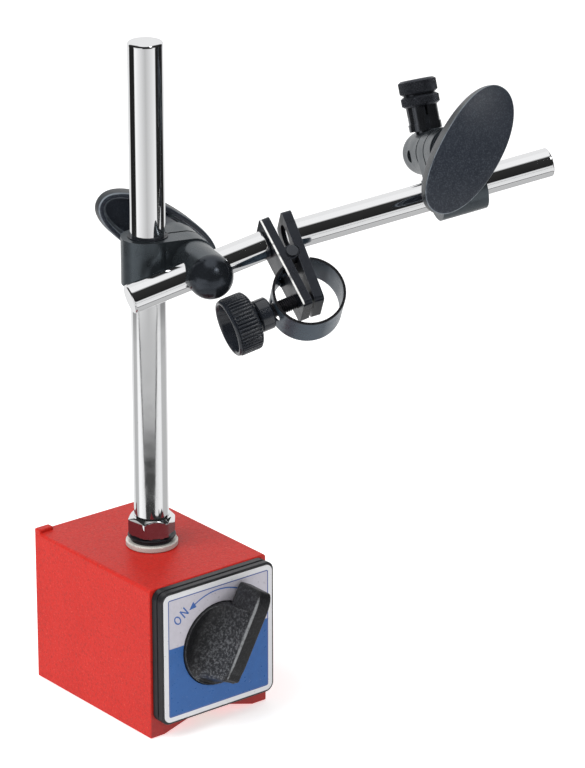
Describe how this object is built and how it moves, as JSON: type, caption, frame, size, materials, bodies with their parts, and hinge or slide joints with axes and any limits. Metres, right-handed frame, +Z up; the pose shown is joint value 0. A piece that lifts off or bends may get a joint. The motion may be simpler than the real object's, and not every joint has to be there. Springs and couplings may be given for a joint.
{
  "type": "dial indicator on magnetic base",
  "caption": "Magnetic base stand with switch, column, fine-adjustment arm, clamps and a stem holder for a dial indicator.",
  "frame": {"origin": "middle of the foot on the +X side of the V groove, on the resting plane", "axes": "+Z up along the column, -Y out of the switch face, +X to the right when facing the switch"},
  "size_m": [0.1499, 0.1146, 0.234],
  "materials": {
    "red_paint": "satin",
    "brass": "satin",
    "black_plastic": "matt",
    "zinc_steel": "satin",
    "label": "satin",
    "core_alloy": "satin",
    "magnet": "matt",
    "soft_iron": "satin",
    "chrome": "polished",
    "blued_steel": "satin black",
    "spring_steel": "satin black",
    "plain_steel": "satin"
  },
  "bodies": {
    "base": {"pole_left": "red_paint", "pole_right": "red_paint", "spacer_top": "brass", "spacer_bottom": "brass", "front_bezel": "black_plastic", "bezel_screw": "zinc_steel", "label_plate": "label", "rear_cover": "red_paint", "cover_screw": "zinc_steel", "column": "chrome", "column_washer": "chrome", "lock_washer": "spring_steel", "column_nut": "chrome"},
    "switch": {"rotor_core": "core_alloy", "rotor_magnet": "magnet", "rotor_shoe": "soft_iron", "switch_knob": "black_plastic", "knob_pin": "zinc_steel"},
    "collar": {"collar_liner": "plain_steel"},
    "clamp": {"clamp_body": "blued_steel", "clamp_washer": "blued_steel"},
    "clamp_wing": {"clamp_knob": "black_plastic", "clamp_insert": "brass"},
    "sleeve": {"arm_sleeve": "blued_steel"},
    "bolt": {"draw_bolt": "plain_steel"},
    "arm": {"arm_rod": "chrome"},
    "first_plate": {"left_plate": "blued_steel", "hinge_pin": "plain_steel", "band_spring": "spring_steel", "spring_rivet": "spring_steel"},
    "thrust": {"thrust_collar": "blued_steel"},
    "screw": {"adjust_screw": "blued_steel", "thumb_knob": "black_plastic"},
    "second_plate": {"right_plate": "blued_steel", "right_rod": "chrome"},
    "holder_bush": {"holder_liner": "plain_steel"},
    "holder": {"holder_body": "blued_steel", "holder_washer": "blued_steel"},
    "holder_wing": {"holder_knob": "black_plastic", "holder_insert": "brass"},
    "eye": {"holder_sleeve": "blued_steel"},
    "eye_bolt": {"holder_bolt": "plain_steel"},
    "stem": {"stem_barrel": "blued_steel"},
    "ring": {"lock_ring": "blued_steel"},
    "nut": {"stem_nut": "blued_steel"}
  },
  "joints": [
    {"name": "switch_turn", "type": "hinge", "parent": "base", "child": "switch", "pos_m": [-0.022, 0, 0.0308], "axis": [0, -1, 0], "range_deg": [0, 90]},
    {"name": "clamp_slide", "type": "slide", "parent": "base", "child": "collar", "axis": [0, 0, 1], "range_m": [-0.05, 0.06]},
    {"name": "clamp_swivel", "type": "hinge", "parent": "collar", "child": "clamp", "pos_m": [-0.022, 0, 0.1585], "axis": [0, 0, 1], "range_deg": [-100, 60]},
    {"name": "clamp_knob_turn", "type": "hinge", "parent": "clamp", "child": "clamp_wing", "pos_m": [-0.00955, -0.00374, 0.1585], "axis": [0.2874, 0.9578, 0], "range_deg": [-150, 0]},
    {"name": "arm_swivel", "type": "hinge", "parent": "clamp", "child": "sleeve", "pos_m": [-0.01456, -0.02043, 0.1585], "axis": [-0.2874, -0.9578, 0], "range_deg": [-30, 40]},
    {"name": "draw_bolt_pull", "type": "slide", "parent": "sleeve", "child": "bolt", "axis": [-0.2874, -0.9578, 0], "range_m": [0, 0.00045]},
    {"name": "arm_slide", "type": "slide", "parent": "sleeve", "child": "arm", "axis": [0.9252, -0.2776, 0.2588], "range_m": [-0.004, 0.012]},
    {"name": "arm_roll", "type": "hinge", "parent": "arm", "child": "first_plate", "pos_m": [-0.01456, -0.02043, 0.1585], "axis": [0.9252, -0.2776, 0.2588], "range_deg": [-5, 60]},
    {"name": "adjust_turn", "type": "hinge", "parent": "thrust", "child": "screw", "pos_m": [-0.0152, -0.03695, 0.14309], "axis": [0.9252, -0.2776, 0.2588], "range_deg": [0, 540]},
    {"name": "adjust_advance", "type": "slide", "parent": "first_plate", "child": "thrust", "axis": [0.9252, -0.2776, 0.2588], "range_m": [0, 0.0012]},
    {"name": "fine_tilt", "type": "hinge", "parent": "first_plate", "child": "second_plate", "pos_m": [0.0112, -0.03444, 0.15998], "axis": [-0.3784, -0.6234, 0.6842], "range_deg": [0, 5]},
    {"name": "holder_slide", "type": "slide", "parent": "second_plate", "child": "holder_bush", "axis": [0.9165, -0.3561, 0.1824], "range_m": [-0.035, 0.018]},
    {"name": "holder_roll", "type": "hinge", "parent": "holder_bush", "child": "holder", "pos_m": [0.0123, -0.02853, 0.16598], "axis": [0.9165, -0.3561, 0.1824], "range_deg": [-75, 60]},
    {"name": "holder_knob_turn", "type": "hinge", "parent": "holder", "child": "holder_wing", "pos_m": [0.06943, -0.04632, 0.1896], "axis": [-0.3973, -0.8636, 0.3103], "range_deg": [-150, 0]},
    {"name": "stem_swivel", "type": "hinge", "parent": "holder", "child": "eye", "pos_m": [0.07755, -0.02868, 0.18326], "axis": [0.3973, 0.8636, -0.3103], "range_deg": [-45, 45]},
    {"name": "holder_bolt_pull", "type": "slide", "parent": "eye", "child": "eye_bolt", "axis": [0.3973, 0.8636, -0.3103], "range_m": [0, 0.00045]},
    {"name": "stem_turn", "type": "hinge", "parent": "eye", "child": "stem", "pos_m": [0.07755, -0.02868, 0.18326], "axis": [0.0202, 0.3298, 0.9438], "range_deg": [-180, 180]},
    {"name": "stem_nut_turn", "type": "hinge", "parent": "stem", "child": "nut", "pos_m": [0.07755, -0.02868, 0.18326], "axis": [0.0202, 0.3298, 0.9438], "range_deg": [-360, 0]},
    {"name": "lock_ring_turn", "type": "hinge", "parent": "stem", "child": "ring", "pos_m": [0.07755, -0.02868, 0.18326], "axis": [0.0202, 0.3298, 0.9438], "range_deg": [-360, 0]}
  ],
  "couplings": [
    {"joint": "draw_bolt_pull", "follows": "clamp_knob_turn", "m_per_rad": -0.00015915},
    {"joint": "holder_bolt_pull", "follows": "holder_knob_turn", "m_per_rad": -0.00015915},
    {"joint": "adjust_advance", "follows": "adjust_turn", "m_per_rad": 0.00011141},
    {"joint": "fine_tilt", "follows": "adjust_turn", "ratio": 0.0078457}
  ]
}
